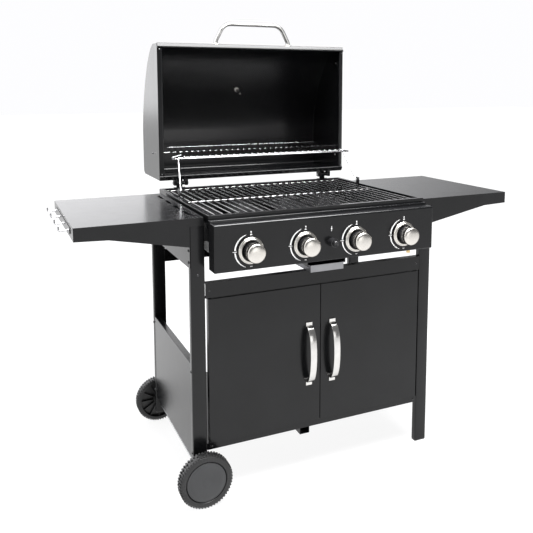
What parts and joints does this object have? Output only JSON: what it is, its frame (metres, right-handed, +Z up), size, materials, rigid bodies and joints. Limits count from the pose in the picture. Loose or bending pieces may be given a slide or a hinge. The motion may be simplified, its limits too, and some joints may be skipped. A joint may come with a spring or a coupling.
{
  "type": "gas barbecue grill",
  "caption": "Black steel gas barbecue on a wheeled cart with a hinged lid, warming rack, side shelves, doors and turning control knobs.",
  "frame": {"origin": "middle of the overall box at floor level, with the lid open", "axes": "+X to the right seen from the front, across the shelves; +Y to the back; +Z up"},
  "size_m": [1.3907, 0.8198, 1.3465],
  "materials": {
    "black_steel": "satin black powder coat",
    "black_plastic": "moulded black plastic",
    "chrome": "bright",
    "satin_nickel": "satin nickel plate",
    "bare_steel": "plain zinc-plated steel",
    "enamelled_iron": "black enamel",
    "brass": "machined"
  },
  "bodies": {
    "cart": {"post_front_left": "black_steel", "post_rear_left": "black_steel", "post_front_right": "black_steel", "post_rear_right": "black_steel", "side_panel_left": "black_steel", "side_panel_right": "black_steel", "bottom_shelf": "black_steel", "bottom_brace": "black_steel", "header_rail": "black_steel", "rear_rail": "black_steel", "axle": "bare_steel", "firebox": "black_steel", "control_panel": "black_steel", "burner_1": "bare_steel", "burner_2": "bare_steel", "burner_3": "bare_steel", "burner_4": "bare_steel", "flame_tamer_1": "enamelled_iron", "flame_tamer_2": "enamelled_iron", "flame_tamer_3": "enamelled_iron", "flame_tamer_4": "enamelled_iron", "gas_manifold": "brass", "bezel_1": "satin_nickel", "bezel_2": "satin_nickel", "bezel_3": "satin_nickel", "bezel_4": "satin_nickel", "igniter_housing": "black_plastic", "grate_left": "enamelled_iron", "grate_right": "enamelled_iron", "lid_hinge_bracket_left": "black_steel", "lid_hinge_bracket_right": "black_steel", "lid_hinge_pin_left": "bare_steel", "lid_hinge_pin_right": "bare_steel", "side_shelf_left": "black_steel", "side_shelf_right": "black_steel", "hook_rail": "black_steel", "tray_hanger": "black_steel"},
    "lid": {"lid": "black_steel", "lid_handle": "satin_nickel", "thermometer": "satin_nickel"},
    "rack_leg": {"rack_leg": "chrome"},
    "warming_rack": {"warming_rack": "chrome"},
    "door_left": {"door_left": "black_steel", "door_handle_left": "chrome"},
    "door_right": {"door_right": "black_steel", "door_handle_right": "chrome"},
    "wheel_front": {"wheel_front": "black_plastic", "hubcap_front": "black_plastic"},
    "wheel_rear": {"wheel_rear": "black_plastic", "hubcap_rear": "black_plastic"},
    "igniter_button": {"igniter_button": "black_plastic"},
    "drip_tray": {"drip_tray": "bare_steel"},
    "valve_stem_1": {"valve_stem_1": "brass"},
    "knob_1": {"knob_1": "satin_nickel"},
    "valve_stem_2": {"valve_stem_2": "brass"},
    "knob_2": {"knob_2": "satin_nickel"},
    "valve_stem_3": {"valve_stem_3": "brass"},
    "knob_3": {"knob_3": "satin_nickel"},
    "valve_stem_4": {"valve_stem_4": "brass"},
    "knob_4": {"knob_4": "satin_nickel"}
  },
  "joints": [
    {"name": "lid_hinge", "type": "hinge", "parent": "cart", "child": "lid", "pos_m": [0.015, 0.1889, 0.808], "axis": [1, 0, 0], "range_deg": [0, 90]},
    {"name": "rack_leg_swing", "type": "hinge", "parent": "cart", "child": "rack_leg", "pos_m": [0.015, 0.0289, 0.805], "axis": [1, 0, 0], "range_deg": [0, 90]},
    {"name": "rack_level", "type": "hinge", "parent": "rack_leg", "child": "warming_rack", "pos_m": [0.015, 0.1009, 0.902], "axis": [1, 0, 0], "range_deg": [-90, 0]},
    {"name": "door_left_hinge", "type": "hinge", "parent": "cart", "child": "door_left", "pos_m": [-0.3165, -0.2916, 0.3581], "axis": [0, 0, -1], "range_deg": [0, 110]},
    {"name": "door_right_hinge", "type": "hinge", "parent": "cart", "child": "door_right", "pos_m": [0.3465, -0.2916, 0.3581], "axis": [0, 0, 1], "range_deg": [0, 110]},
    {"name": "wheel_front_spin", "type": "hinge", "parent": "cart", "child": "wheel_front", "pos_m": [-0.3515, -0.3376, 0.075], "axis": [0, 1, 0], "continuous": true},
    {"name": "wheel_rear_spin", "type": "hinge", "parent": "cart", "child": "wheel_rear", "pos_m": [-0.3515, 0.1794, 0.075], "axis": [0, 1, 0], "continuous": true},
    {"name": "igniter_press", "type": "slide", "parent": "cart", "child": "igniter_button", "axis": [0, 1, 0], "range_m": [0, 0.004], "stiffness_N_per_m": 500, "springref_m": -0.002},
    {"name": "drip_tray_slide", "type": "slide", "parent": "cart", "child": "drip_tray", "axis": [0, -1, 0], "range_m": [0, 0.26]},
    {"name": "knob_1_push", "type": "slide", "parent": "cart", "child": "valve_stem_1", "axis": [0, 1, 0], "range_m": [0, 0.003], "stiffness_N_per_m": 600, "springref_m": -0.002},
    {"name": "knob_1_turn", "type": "hinge", "parent": "valve_stem_1", "child": "knob_1", "pos_m": [-0.225, -0.3639, 0.699], "axis": [0, -1, 0], "range_deg": [0, 180]},
    {"name": "knob_2_push", "type": "slide", "parent": "cart", "child": "valve_stem_2", "axis": [0, 1, 0], "range_m": [0, 0.003], "stiffness_N_per_m": 600, "springref_m": -0.002},
    {"name": "knob_2_turn", "type": "hinge", "parent": "valve_stem_2", "child": "knob_2", "pos_m": [-0.065, -0.3639, 0.699], "axis": [0, -1, 0], "range_deg": [0, 180]},
    {"name": "knob_3_push", "type": "slide", "parent": "cart", "child": "valve_stem_3", "axis": [0, 1, 0], "range_m": [0, 0.003], "stiffness_N_per_m": 600, "springref_m": -0.002},
    {"name": "knob_3_turn", "type": "hinge", "parent": "valve_stem_3", "child": "knob_3", "pos_m": [0.095, -0.3639, 0.699], "axis": [0, -1, 0], "range_deg": [0, 180]},
    {"name": "knob_4_push", "type": "slide", "parent": "cart", "child": "valve_stem_4", "axis": [0, 1, 0], "range_m": [0, 0.003], "stiffness_N_per_m": 600, "springref_m": -0.002},
    {"name": "knob_4_turn", "type": "hinge", "parent": "valve_stem_4", "child": "knob_4", "pos_m": [0.255, -0.3639, 0.699], "axis": [0, -1, 0], "range_deg": [0, 180]}
  ],
  "couplings": [
    {"joint": "rack_leg_swing", "follows": "lid_hinge", "ratio": 1},
    {"joint": "rack_level", "follows": "lid_hinge", "ratio": -1}
  ]
}
